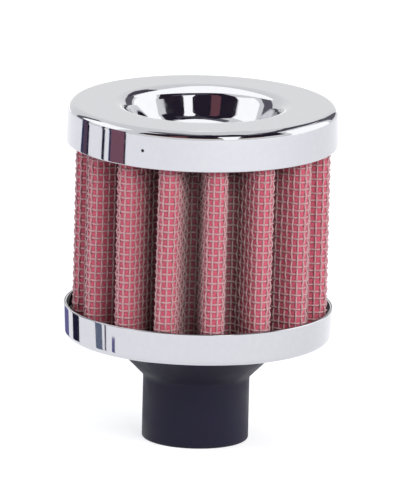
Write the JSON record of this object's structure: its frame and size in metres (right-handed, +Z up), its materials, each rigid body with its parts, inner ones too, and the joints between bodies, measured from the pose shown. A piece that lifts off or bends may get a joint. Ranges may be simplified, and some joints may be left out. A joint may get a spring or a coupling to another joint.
{
  "type": "crankcase breather filter",
  "caption": "Small round crankcase breather filter: pleated red gauze under wire cloth, chromed cap with a round bowl in its top, chromed lower cup and a black rubber clamp-on neck.",
  "frame": {"origin": "centre of the rubber neck's flat end face, on the filter's axis", "axes": "+Z up along the axis from the neck to the cap; -Y is the side that faces the viewer in the picture"},
  "size_m": [0.052, 0.052, 0.0655],
  "materials": {
    "chrome": "bright chromed pressing",
    "rubber": "moulded black rubber, semi-matt",
    "wire": "coated wire cloth",
    "gauze": "red oiled cotton gauze",
    "strip": "plain rolled strip",
    "resin": "dark cast resin"
  },
  "bodies": {
    "root": {"top_cap": "chrome", "bottom_cup": "chrome", "neck": "rubber", "outer_screen": "wire", "cotton_gauze": "gauze", "seam_strip": "strip", "bottom_ring": "resin", "top_ring": "resin"}
  },
  "joints": []
}
